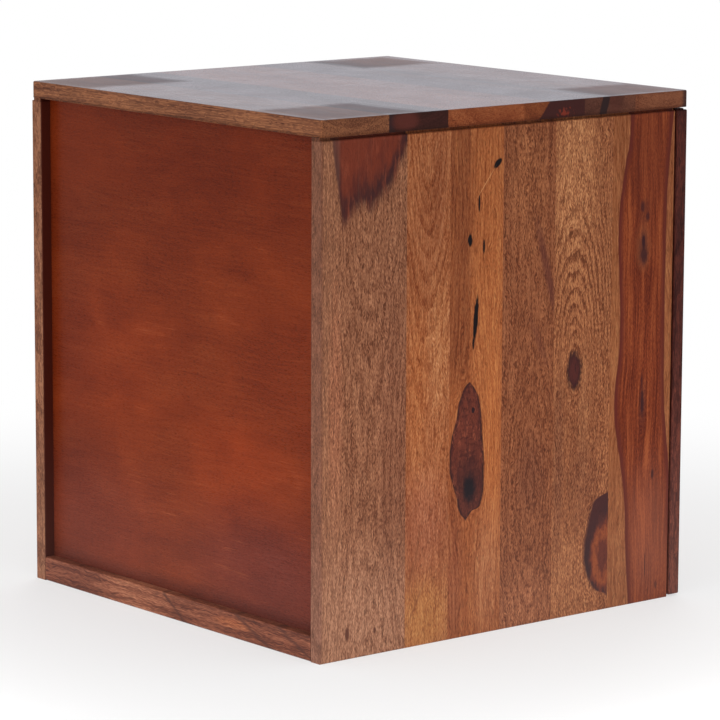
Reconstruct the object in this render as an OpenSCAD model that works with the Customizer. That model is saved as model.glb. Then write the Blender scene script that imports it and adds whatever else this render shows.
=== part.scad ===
// Bedside cabinet of edge-glued hardwood staves, with one door hung on two butt hinges.
// The door faces -Y, the stained back panel faces +Y, and the cabinet stands on z = 0.
// The origin is on the floor, at the middle of the top's outline.

/* [Cabinet] */
// Width over the two side panels
width = 457; // [400:1:560]
// Depth from the back edge to the door's face
depth = 457; // [420:1:560]
// Height from the floor to the top's face
height = 503; // [440:1:620]

/* [Boards] */
// Thickness of the top
top_t = 16.5; // [13:0.5:22]
// Thickness of a side panel
side_t = 15; // [14:0.5:22]
// Thickness of the door
door_t = 14; // [13:0.5:20]
// Thickness of the bottom board
bottom_t = 12; // [10:0.5:16]
// Thickness of the shelf
shelf_t = 14; // [12:0.5:20]
// Thickness of the plywood back panel
back_t = 5; // [3:0.5:8]

/* [Staves] */
// Widths of the top's staves from the back edge, where the front one takes the rest
top_widths = [79, 71, 94, 77, 66]; // [55:1:95]
// Widths of the left panel's staves from the back edge, where the front one takes the rest
left_widths = [101, 53, 65, 66, 74]; // [45:1:105]

/* [Reveals] */
// Height of the shadow line under the top
reveal_h = 2.4; // [2:0.2:6]
// Depth of the shadow line under the top
reveal_d = 3; // [1:0.5:6]
// Clearance of the door under the top, behind the shadow line
door_top_gap = 1.2; // [0.8:0.1:1.8]
// Clearance of the door above the floor
door_floor_gap = 1.5; // [1:0.5:6]
// Distance from the back edge in to the back panel's face
back_recess = 11; // [4:1:20]
// Depth of the grooves that hold the back panel
groove_d = 5; // [3:0.5:8]

/* [Frame] */
// Height of the bottom rails
rail_h = 24; // [20:1:40]
// Depth of the bottom rails from front to back
rail_d = 30; // [26:1:45]
// Height of the rail under the front of the top
top_rail_h = 30; // [24:1:45]
// Depth of that rail from front to back
top_rail_d = 22; // [18:1:35]
// Width of the cleats along the side panels
cleat_w = 15; // [12:1:24]
// Height of the cleats under the shelf and under the top
cleat_h = 20; // [16:1:30]
// Diameter of the dowels in the rails
dowel_dia = 8; // [6:1:10]
// Length of those dowels
dowel_len = 30; // [24:1:36]

/* [Shelf] */
// Height of the shelf's face above the floor
shelf_z = 250; // [180:1:320]
// Distance of the shelf behind the front edge of the side panels
shelf_setback = 12.5; // [12:0.5:60]

/* [Door] */
// Height of a batten across the inside of the door
batten_h = 40; // [30:1:60]
// Thickness of a batten
batten_t = 13; // [9:0.5:13]
// Clearance of a batten's ends from the side panels' inner faces
batten_clear = 18.5; // [18:0.5:60]
// Distance from the door's ends to the middle of a batten
batten_inset = 92; // [80:1:120]
// Diameter of a bumper
bumper_dia = 8; // [5:0.5:11]
// Distance from the door's ends to the middle of a bumper
bumper_inset = 26; // [15:1:60]

/* [Knob] */
// Diameter of the knob's cap
knob_dia = 30; // [22:1:40]
// Distance that the knob stands out of the door
knob_out = 22; // [18:1:30]
// Diameter of the knob's foot on the door
knob_foot_dia = 17; // [12:1:20]
// Diameter of the neck behind the cap
knob_neck_dia = 13; // [11:1:16]
// Distance from the door's free edge to the knob
knob_inset = 46; // [40:1:90]
// Height of the knob above the floor
knob_z = 262; // [180:1:360]

/* [Hinges] */
// Length of a hinge
hinge_len = 50; // [40:1:75]
// Thickness of a hinge leaf
leaf_t = 1.35; // [1.2:0.05:2]
// Width of a leaf's plate on the edge of the side panel
leaf_w = 12.5; // [10:0.5:13]
// Diameter of the knuckles
knuckle_dia = 6; // [5:0.5:8]
// Diameter of the hinge pins
pin_dia = 2.5; // [2:0.1:3]
// Distance from the door's ends to the middle of a hinge
hinge_inset = 58; // [45:1:110]

/* [Catch] */
// Width of the magnetic catch over its flange
catch_w = 44; // [36:1:60]
// Height of the catch
catch_h = 12; // [10:1:16]
// Depth of the catch from front to back
catch_d = 14; // [12:1:14]
// Distance from the left panel's inner face to the middle of the catch
catch_inset = 84; // [60:1:180]
// Thickness of the strike plate
strike_t = 1.2; // [1:0.1:2]

/* [Fits] */
// Radial clearance of a pin, dowel or screw in its hole
hole_play = 0.05; // [0.02:0.01:0.1]
// Gap between a moving face and a fixed one
move_gap = 0.3; // [0.3:0.05:0.6]
// Play of the back panel and shelf in their places
board_play = 0.2; // [0.1:0.1:0.5]

/* [Hidden] */
$fn = 48;
TOP_COUNT = len(top_widths) + 1;
LEFT_COUNT = len(left_widths) + 1;
RIGHT_COUNT = 5;
BOTTOM_COUNT = 3;
SHELF_COUNT = 3;
DOOR_COUNT = 5;
SIDES = ["left", "right"];
ENDS = ["lower", "upper"];
CLEATS = ["bottom", "shelf", "top"];

function numbered(name, count) = [for (i = [1:count]) str(name, "_", i)];

// Levels and faces of the cabinet
top_z = height - top_t;
back_y = depth / 2;
front_y = -depth / 2;
side_x = width / 2;
inner_x = side_x - side_t;
hinge_gap = 2 * leaf_t + move_gap;
door_back_y = front_y + door_t;
body_front_y = door_back_y + hinge_gap;
door_bottom_z = door_floor_gap;
reveal_z = top_z - reveal_h;
door_top_z = top_z - door_top_gap;

// The back panel and its grooves
panel_y = back_y - back_recess;
panel_inner_y = panel_y - back_t;
groove_bottom_z = rail_h - groove_d;

// The rails, the cleats and the boards on them
bottom_cleat_h = rail_h - bottom_t;
bottom_front_y = body_front_y + rail_d;
bottom_back_y = back_y - rail_d;
top_rail_z = top_z - top_rail_h;
top_rail_back_y = body_front_y + top_rail_d;
shelf_front_y = body_front_y + shelf_setback;
shelf_back_y = panel_inner_y - board_play;
shelf_cleat_setback = 4;
dowel_r = dowel_dia / 2;
dowel_spread = 2 * dowel_dia;
dowel_seat = 10;

// The screws: two sizes of shank, each with a countersunk head
small_screw_r = 1.4;
small_head_r = 2.6;
small_head_h = 1.1;
wood_screw_r = 1.9;
wood_head_r = 3.6;
wood_head_h = 2.2;
side_bite = 10;
board_bite = 8;
side_screw_shares = [0.08, 0.45, 0.92];
board_screw_shares = [0.2, 0.8];

// The hinge axis stands clear of the side panel's face, in the middle of the gap
knuckle_r = knuckle_dia / 2;
pin_r = pin_dia / 2;
pin_head_r = pin_r + 1;
pin_head_h = 0.8;
hinge_off = knuckle_r + move_gap;
hinge_x = side_x + hinge_off;
hinge_y = door_back_y + hinge_gap / 2;
hinge_zs = [door_bottom_z + hinge_inset, reveal_z - hinge_inset];
knuckle_h = (hinge_len - 2 * move_gap) / 3;
leaf_screw_zs = [-0.3 * hinge_len, 0.3 * hinge_len];
leaf_screw_x = -hinge_off - leaf_w / 2;
cabinet_screw_len = 16;
door_screw_len = door_t - 3;

// The door's battens, knob and catch
batten_len = 2 * (inner_x - batten_clear);
batten_zs = [door_bottom_z + batten_inset, reveal_z - batten_inset];
batten_screw_len = batten_t + door_t - 5;
knob_x = -side_x + knob_inset;
knob_neck_h = knob_out / 2;
knob_screw_r = 2;
knob_screw_bite = knob_neck_h;
knob_head_r = 3.8;
knob_head_h = 2;
bumper_x = -inner_x - side_t / 2;
catch_x = -inner_x + catch_inset;
strike_y = door_back_y + strike_t;
magnet_front_y = strike_y + move_gap;
magnet_out = 0.7;
magnet_size = [20, 9, 6];
housing_w = magnet_size[0] + 6;
flange_t = 2;
strike_w = 36;
strike_h = 14;
strike_z = top_rail_z - catch_h + magnet_size[2] / 2 + 1.5;

// Colours of the timber, light to dark, and of the metal
TAN = "#a5714c";
BROWN = "#96694c";
RED = "#86472f";
DARK = "#4a2826";
TOP_COLOURS = [BROWN, DARK, TAN, RED, BROWN, BROWN];
SIDE_COLOURS = [BROWN, TAN, TAN, BROWN, BROWN, RED];
STEEL = "#8d8a86";

// Sum of the first n widths
function run(widths, n) = n == 0 ? 0 : widths[n - 1] + run(widths, n - 1);
// Span of stave i, measured along the board, when the last stave takes the rest
function stave_span(widths, total, i) =
    [run(widths, i), i == len(widths) ? total : run(widths, i + 1)];
// Span of stave i when all of them are equal
function equal_span(total, count, i) = [total * i / count, total * (i + 1) / count];

// A box between two corners
module block(low, high) {
    translate(low) cube(high - low);
}

// A countersunk screw along +Z, with the top of its head at z = 0 and its tip at z = len
module small_screw(len, play = 0) {
    cylinder(h = len, r = small_screw_r + play);
    cylinder(h = small_head_h, r1 = small_head_r + play, r2 = small_screw_r + play);
}
module wood_screw(len, play = 0) {
    cylinder(h = len, r = wood_screw_r + play);
    cylinder(h = wood_head_h, r1 = wood_head_r + play, r2 = wood_screw_r + play);
}

// Dowels through the ends of the rails, drawn longer where they are holes
module rail_dowel_set(play = 0) {
    rail_ys = [body_front_y + rail_d / 2, back_y - rail_d / 2];
    for (s = [-1, 1]) for (k = [-0.5, 0.5]) {
        for (y = rail_ys)
            dowel(s, y + k * dowel_spread, rail_h / 2 - (groove_d - 2) / 2, play);
        dowel(s, body_front_y + top_rail_d / 2, top_z - top_rail_h / 2 + k * dowel_spread, play);
    }
}
module dowel(side, y, z, play) {
    outer = inner_x + dowel_seat + play;
    translate([side > 0 ? outer - dowel_len - 2 * play : -outer, y, z]) rotate([0, 90, 0])
        cylinder(h = dowel_len + 2 * play, r = dowel_r + play);
}

// The cleats' spans: [y from, y to, z from, z to]
function cleat_box(kind) =
    kind == "bottom" ? [bottom_front_y, bottom_back_y, 0, bottom_cleat_h] :
    kind == "shelf" ? [shelf_front_y + shelf_cleat_setback, shelf_back_y - shelf_cleat_setback,
                       shelf_z - shelf_t - cleat_h, shelf_z - shelf_t] :
    [top_rail_back_y, panel_inner_y - board_play, top_z - cleat_h, top_z];
function along(box, share) = box[0] + share * (box[1] - box[0]);
function cleat_mid_z(box) = (box[2] + box[3]) / 2;
// Sides of the cabinet that carry a cleat, where 0 is the middle
function cleat_sides(kind) = kind == "bottom" ? [-1, 0, 1] : [-1, 1];

// Screws through the cleats into the side panels
module cleat_screw_set(play = 0) {
    for (c = CLEATS) for (share = side_screw_shares) for (s = [-1, 1]) {
        box = cleat_box(c);
        translate([s * (inner_x - cleat_w), along(box, share), cleat_mid_z(box)])
            rotate([0, s * 90, 0]) wood_screw(cleat_w + side_bite, play);
    }
}
// Screws up through the cleats into the bottom board, the shelf and the top
module board_screw_set(play = 0) {
    for (c = CLEATS) for (share = board_screw_shares) for (s = cleat_sides(c)) {
        box = cleat_box(c);
        translate([s * (inner_x - cleat_w / 2), along(box, share), box[2]])
            wood_screw(box[3] - box[2] + board_bite, play);
    }
}
// Screws through the hinge leaves, into the side panel with dir = 1 or the door with dir = -1
module hinge_screw_set(dir, play = 0) {
    for (z = hinge_zs) for (dz = leaf_screw_zs)
        translate([hinge_x + leaf_screw_x, hinge_y + dir * move_gap / 2, z + dz])
            rotate([-dir * 90, 0, 0])
                small_screw(dir > 0 ? cabinet_screw_len : door_screw_len, play);
}
// Screws through the battens into each stave of the door
module batten_screw_set(play = 0) {
    for (z = batten_zs) for (i = [0 : DOOR_COUNT - 1]) {
        span = equal_span(width, DOOR_COUNT, i);
        x = -side_x + (span[0] + span[1]) / 2;
        edge = batten_len / 2 - 2 * wood_head_r;
        translate([max(-edge, min(edge, x)), door_back_y + batten_t, z])
            rotate([90, 0, 0]) wood_screw(batten_screw_len, play);
    }
}
// Screw from inside the door into the knob
module knob_screw_shape(play = 0) {
    translate([knob_x, door_back_y, knob_z]) rotate([90, 0, 0])
        cylinder(h = door_t + knob_screw_bite, r = knob_screw_r + play);
}
// Screws of the catch, up into the top rail
module catch_screw_set(play = 0) {
    for (s = [-1, 1])
        translate([catch_x + s * (housing_w + catch_w) / 4,
                   magnet_front_y + magnet_out + catch_d / 2, top_rail_z - flange_t])
            small_screw(flange_t + 12, play);
}
module strike_screw_shape(play = 0) {
    translate([catch_x, strike_y, strike_z]) rotate([90, 0, 0])
        small_screw(strike_t + 9, play);
}

// One stave of the top, with the groove for the back panel and the holes for its screws
module top_stave(i) {
    span = stave_span(top_widths, depth, i);
    color(TOP_COLOURS[i]) difference() {
        block([-side_x, back_y - span[1], top_z], [side_x, back_y - span[0], height]);
        panel_groove();
        board_screw_set(hole_play);
    }
}

// Space that the back panel fills in the boards round it
module panel_groove() {
    reach = inner_x + groove_d;
    block([-reach, panel_inner_y - board_play / 2, groove_bottom_z],
          [reach, panel_y + board_play / 2, top_z + groove_d]);
}

// The rebate for the shadow line along one side of the cabinet and its door, dir 0 for the front
module reveal_rebate(dir) {
    low = dir == 0 ? [-side_x - 1, front_y - 1] : [min(dir * (side_x - reveal_d), dir * (side_x + 1)), front_y - 1];
    high = dir == 0 ? [side_x + 1, front_y + reveal_d]
                    : [max(dir * (side_x - reveal_d), dir * (side_x + 1)), back_y + 1];
    block([low[0], low[1], reveal_z], [high[0], high[1], top_z + 1]);
}

// One stave of a side panel, rebated at its outer top edge
module side_stave(dir, span) {
    difference() {
        block([min(dir * inner_x, dir * side_x), back_y - span[1], 0],
              [max(dir * inner_x, dir * side_x), back_y - span[0], top_z]);
        reveal_rebate(dir);
        panel_groove();
        rail_dowel_set(hole_play);
        cleat_screw_set(hole_play);
        if (dir > 0) hinge_screw_set(1, hole_play);
    }
}
module left_side(i) {
    color(SIDE_COLOURS[i])
        side_stave(-1, stave_span(left_widths, back_y - body_front_y, i));
}
module right_side(i) {
    color(SIDE_COLOURS[i + 1])
        side_stave(1, equal_span(back_y - body_front_y, RIGHT_COUNT, i));
}

// One stave of the bottom board, flush with the rails before and behind it
module bottom_stave(i) {
    span = equal_span(bottom_back_y - bottom_front_y, BOTTOM_COUNT, i);
    color(BROWN) difference() {
        block([-inner_x, bottom_back_y - span[1], rail_h - bottom_t],
              [inner_x, bottom_back_y - span[0], rail_h]);
        board_screw_set(hole_play);
    }
}
// One stave of the shelf
module shelf_stave(i) {
    span = equal_span(shelf_back_y - shelf_front_y, SHELF_COUNT, i);
    x = inner_x - board_play;
    color(TAN) difference() {
        block([-x, shelf_back_y - span[1], shelf_z - shelf_t],
              [x, shelf_back_y - span[0], shelf_z]);
        board_screw_set(hole_play);
    }
}

// The rails between the side panels
module bottom_rail_back() {
    color(BROWN) difference() {
        block([-inner_x, back_y - rail_d, 0], [inner_x, back_y, rail_h]);
        panel_groove();
        rail_dowel_set(hole_play);
    }
}
module bottom_rail_front() {
    color(BROWN) difference() {
        block([-inner_x, body_front_y, 0], [inner_x, body_front_y + rail_d, rail_h]);
        rail_dowel_set(hole_play);
    }
}
module top_rail_front() {
    color(BROWN) difference() {
        block([-inner_x, body_front_y, top_rail_z], [inner_x, top_rail_back_y, top_z]);
        rail_dowel_set(hole_play);
        catch_screw_set(hole_play);
    }
}

// Stained plywood panel, held in grooves all round
module back_panel() {
    reach = inner_x + groove_d - board_play;
    color("#7a3c22")
        block([-reach, panel_inner_y, groove_bottom_z + board_play],
              [reach, panel_y, top_z + groove_d - board_play]);
}

// A cleat along the inside of a side panel
module cleat(kind, dir) {
    box = cleat_box(kind);
    xs = [dir * (inner_x - cleat_w), dir * inner_x];
    color(RED) difference() {
        block([min(xs), box[0], box[2]], [max(xs), box[1], box[3]]);
        cleat_screw_set(hole_play);
        board_screw_set(hole_play);
    }
}
// The cleat under the middle of the bottom board
module bottom_cleat_middle() {
    color(RED) difference() {
        block([-cleat_w, bottom_front_y, 0], [cleat_w, bottom_back_y, bottom_cleat_h]);
        board_screw_set(hole_play);
    }
}

// One upright stave of the door, whose outer top edges carry the shadow line on
module door_stave(i) {
    span = equal_span(width, DOOR_COUNT, i);
    color(i == 0 ? DARK : SIDE_COLOURS[i]) difference() {
        block([-side_x + span[0], front_y, door_bottom_z],
              [-side_x + span[1], door_back_y, door_top_z]);
        for (dir = [-1, 0, 1]) reveal_rebate(dir);
        hinge_screw_set(-1, hole_play);
        batten_screw_set(hole_play);
        knob_screw_shape(hole_play);
        strike_screw_shape(hole_play);
    }
}
// A batten that keeps the door's staves flat
module door_batten(z) {
    color(RED) difference() {
        block([-batten_len / 2, door_back_y, z - batten_h / 2],
              [batten_len / 2, door_back_y + batten_t, z + batten_h / 2]);
        batten_screw_set(hole_play);
    }
}

// Turned knob: a foot, a neck and a domed cap
module knob() {
    cap_h = knob_out - knob_neck_h;
    cap_r = knob_dia / 2;
    dome_r = (cap_r * cap_r + cap_h * cap_h) / (2 * cap_h);
    color(DARK) difference() {
        translate([knob_x, front_y, knob_z]) rotate([90, 0, 0]) {
            cylinder(h = knob_neck_h, r1 = knob_foot_dia / 2, r2 = knob_neck_dia / 2);
            translate([0, 0, knob_neck_h]) intersection() {
                cylinder(h = cap_h, r = cap_r);
                translate([0, 0, cap_h - dome_r]) sphere(r = dome_r);
            }
        }
        knob_screw_shape(hole_play);
    }
}
module knob_screw() {
    color(STEEL) {
        knob_screw_shape();
        translate([knob_x, door_back_y + knob_head_h, knob_z]) rotate([90, 0, 0])
            cylinder(h = knob_head_h, r = knob_head_r);
    }
}

// A hinge leaf about the pin, with dir = 1 on the side panel and dir = -1 on the door
module leaf(dir, starts) {
    y = dir > 0 ? move_gap / 2 : -move_gap / 2 - leaf_t;
    difference() {
        union() {
            block([-hinge_off - leaf_w, y, -hinge_len / 2], [-hinge_off, y + leaf_t, hinge_len / 2]);
            for (z = starts) {
                block([-hinge_off, y, z], [0, y + leaf_t, z + knuckle_h]);
                translate([0, 0, z]) cylinder(h = knuckle_h, r = knuckle_r);
            }
        }
        translate([0, 0, -hinge_len]) cylinder(h = 2 * hinge_len, r = pin_r + hole_play);
    }
}
module cabinet_leaf(z) {
    color(STEEL) difference() {
        translate([hinge_x, hinge_y, z])
            leaf(1, [-hinge_len / 2, hinge_len / 2 - knuckle_h]);
        hinge_screw_set(1, hole_play);
    }
}
module door_leaf(z) {
    color(STEEL) difference() {
        translate([hinge_x, hinge_y, z]) leaf(-1, [-knuckle_h / 2]);
        hinge_screw_set(-1, hole_play);
    }
}
module hinge_pins() {
    color(STEEL) for (z = hinge_zs) translate([hinge_x, hinge_y, z]) {
        translate([0, 0, -hinge_len / 2]) cylinder(h = hinge_len, r = pin_r);
        for (s = [-1, 1])
            translate([0, 0, s > 0 ? hinge_len / 2 : -hinge_len / 2 - pin_head_h])
                cylinder(h = pin_head_h, r = pin_head_r);
    }
}
module cabinet_hinge_screws() {
    color(STEEL) hinge_screw_set(1);
}
module door_hinge_screws() {
    color(STEEL) hinge_screw_set(-1);
}

// The hidden fastenings
module rail_dowels() {
    color(TAN) rail_dowel_set();
}
module cleat_screws() {
    color(STEEL) cleat_screw_set();
}
module board_screws() {
    color(STEEL) board_screw_set();
}
module batten_screws() {
    color(STEEL) batten_screw_set();
}

// Bumpers that keep the door's free edge off the side panel
module door_bumpers() {
    color("#2b2422")
        for (z = [door_bottom_z + bumper_inset, reveal_z - bumper_inset])
            translate([bumper_x, door_back_y, z]) rotate([-90, 0, 0])
                cylinder(h = hinge_gap - move_gap, r = bumper_dia / 2);
}

// Magnetic catch under the top rail, and its strike plate on the door
module magnet_space(play = 0) {
    low = [catch_x - magnet_size[0] / 2, magnet_front_y, strike_z - magnet_size[2] / 2];
    grow = [play, play, play];
    block(low - grow, low + magnet_size + grow);
}
module catch_housing() {
    housing_y = magnet_front_y + magnet_out;
    color("#6b4a34") difference() {
        union() {
            block([catch_x - catch_w / 2, housing_y, top_rail_z - flange_t],
                  [catch_x + catch_w / 2, housing_y + catch_d, top_rail_z]);
            block([catch_x - housing_w / 2, housing_y, top_rail_z - catch_h],
                  [catch_x + housing_w / 2, housing_y + catch_d, top_rail_z - flange_t]);
        }
        magnet_space(hole_play);
        catch_screw_set(hole_play);
    }
}
module catch_magnet() {
    color("#3c3a3a") magnet_space();
}
module catch_screws() {
    color(STEEL) catch_screw_set();
}
module strike_plate() {
    color(STEEL) difference() {
        block([catch_x - strike_w / 2, door_back_y, strike_z - strike_h / 2],
              [catch_x + strike_w / 2, strike_y, strike_z + strike_h / 2]);
        strike_screw_shape(hole_play);
    }
}
module strike_screw() {
    color(STEEL) strike_screw_shape();
}

for (i = [1:TOP_COUNT]) top_stave(i - 1);
for (i = [1:LEFT_COUNT]) left_side(i - 1);
for (i = [1:RIGHT_COUNT]) right_side(i - 1);
for (i = [1:BOTTOM_COUNT]) bottom_stave(i - 1);
for (i = [1:SHELF_COUNT]) shelf_stave(i - 1);
for (i = [1:DOOR_COUNT]) door_stave(i - 1);
bottom_rail_back();
bottom_rail_front();
top_rail_front();
back_panel();
for (c = CLEATS) for (s = [0, 1])
    cleat(c, 2 * s - 1);
bottom_cleat_middle();
for (e = [0, 1]) {
    door_batten(batten_zs[e]);
    cabinet_leaf(hinge_zs[e]);
    door_leaf(hinge_zs[e]);
}
hinge_pins();
cabinet_hinge_screws();
door_hinge_screws();
rail_dowels();
cleat_screws();
board_screws();
batten_screws();
knob();
knob_screw();
door_bumpers();
catch_housing();
catch_magnet();
catch_screws();
strike_plate();
strike_screw();
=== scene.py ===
import bmesh
import bpy
import math
from mathutils import Euler, Matrix, Vector


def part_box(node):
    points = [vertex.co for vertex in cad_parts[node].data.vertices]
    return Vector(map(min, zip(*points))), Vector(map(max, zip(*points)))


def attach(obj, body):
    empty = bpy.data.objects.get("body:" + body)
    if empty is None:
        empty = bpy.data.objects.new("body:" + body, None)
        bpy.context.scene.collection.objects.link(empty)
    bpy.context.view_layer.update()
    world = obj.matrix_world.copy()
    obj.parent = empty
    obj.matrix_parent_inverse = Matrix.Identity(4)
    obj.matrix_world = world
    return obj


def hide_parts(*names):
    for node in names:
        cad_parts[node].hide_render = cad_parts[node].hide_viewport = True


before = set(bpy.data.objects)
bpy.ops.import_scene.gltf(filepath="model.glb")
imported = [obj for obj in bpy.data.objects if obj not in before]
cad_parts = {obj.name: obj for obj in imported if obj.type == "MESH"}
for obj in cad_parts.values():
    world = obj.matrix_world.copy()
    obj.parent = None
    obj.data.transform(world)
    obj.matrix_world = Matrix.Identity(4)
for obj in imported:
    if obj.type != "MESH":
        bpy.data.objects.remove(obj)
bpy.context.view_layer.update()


# Left side panel
# Six upright rosewood staves, glued edge to edge and planed flat. The outer top edge is rebated, which makes
# the shadow line under the top. The outer edges are eased by hand, and a satin lacquer lies over the wood.

MM = 0.001
EASED = 1.2
LIP = 1.1
LIP_START = 1.7
LIP_FULL = 0.7
YEAR_WIDTH = 3.8
NEAR = 0.01
SHARP_ANGLE = 40
CUT = 0.0001
MERGE = 0.001


def paint(red, green, blue):
    """The colour that a screen shows with these values of 0 to 255."""
    shares = [value / 255 for value in (red, green, blue)]
    return [s / 12.92 if s <= 0.04045 else ((s + 0.055) / 1.055) ** 2.4 for s in shares] + [1.0]


class Finish:
    """Shader nodes of one material, added with short calls. Places are in millimetres."""

    def __init__(self, name):
        self.material = bpy.data.materials.new(name)
        self.material.use_nodes = True
        self.tree = self.material.node_tree
        self.shader = self.tree.nodes["Principled BSDF"]
        place = self.node("TexCoord", "Object")
        self.place = self.node("Mapping", 0, Vector=place, Scale=(1000, 1000, 1000))
        apart = self.tree.nodes.new("ShaderNodeSeparateXYZ")
        self.tree.links.new(self.place, apart.inputs[0])
        self.axes = dict(zip("xyz", apart.outputs))

    def node(self, kind, output, settings=(), **inputs):
        made = self.tree.nodes.new("ShaderNode" + kind)
        for name, value in dict(settings).items():
            setattr(made, name, value)
        for name, value in inputs.items():
            socket = made.inputs[int(name[1:]) if name[1:].isdigit() else name.replace("_", " ")]
            if isinstance(value, bpy.types.NodeSocket):
                self.tree.links.new(value, socket)
            else:
                socket.default_value = value
        return made.outputs[output]

    def math(self, operation, *values):
        inputs = {f"_{i}": value for i, value in enumerate(values)}
        return self.node("Math", 0, {"operation": operation}, **inputs)

    def plus(self, *values):
        total = values[0]
        for value in values[1:]:
            total = self.math("ADD", total, value)
        return total

    def times(self, *values):
        total = values[0]
        for value in values[1:]:
            total = self.math("MULTIPLY", total, value)
        return total

    def less(self, a, b):
        return self.math("SUBTRACT", a, b)

    def vector(self, x, y, z):
        return self.node("CombineXYZ", 0, X=x, Y=y, Z=z)

    def noise(self, place, detail=2.0, roughness=0.5, distortion=0.0):
        """Noise about 0, mostly between -0.25 and 0.25."""
        made = self.node("TexNoise", 0, Vector=place, Scale=1.0, Detail=detail, Roughness=roughness,
                         Distortion=distortion)
        return self.less(made, 0.5)

    def fade(self, value, start, end):
        """0 at start, 1 at end, with a smooth step between."""
        return self.node("MapRange", 0, {"interpolation_type": "SMOOTHSTEP"},
                         Value=value, From_Min=start, From_Max=end)

    def mix(self, share, a, b, blend="MIX"):
        return self.node("Mix", 2, {"data_type": "RGBA", "blend_type": blend}, _0=share, _6=a, _7=b)

    def ramp(self, value, *stops):
        made = self.tree.nodes.new("ShaderNodeValToRGB")
        self.tree.links.new(value, made.inputs[0])
        elements = made.color_ramp.elements
        while len(elements) < len(stops):
            elements.new(0.5)
        for element, (place, colour) in zip(elements, stops):
            element.position = place
            element.color = colour
        return made.outputs[0]

    def curve(self, value, points):
        """A smooth curve through (value, height) points."""
        lows = [min(p[i] for p in points) for i in (0, 1)]
        spans = [max(p[i] for p in points) - lows[i] or 1.0 for i in (0, 1)]
        made = self.tree.nodes.new("ShaderNodeFloatCurve")
        line = made.mapping.curves[0]
        shares = sorted([(p[i] - lows[i]) / spans[i] for i in (0, 1)] for p in points)
        while len(line.points) < len(shares):
            line.points.new(0.5, 0.5)
        for point, share in zip(line.points, shares):
            point.location = share
            point.handle_type = "AUTO_CLAMPED"
        made.mapping.update()
        self.tree.links.new(self.times(self.less(value, lows[0]), 1 / spans[0]), made.inputs["Value"])
        return self.plus(self.times(made.outputs[0], spans[1]), lows[1])

    def surface(self, colour, roughness, height=None, depth=0.00005):
        inputs = {"Base Color": colour, "Roughness": roughness}
        if height is not None:
            inputs["Normal"] = self.node("Bump", 0, Height=height, Distance=depth)
        for name, value in inputs.items():
            if isinstance(value, bpy.types.NodeSocket):
                self.tree.links.new(value, self.shader.inputs[name])
            else:
                self.shader.inputs[name].default_value = value
        return self.material


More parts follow.
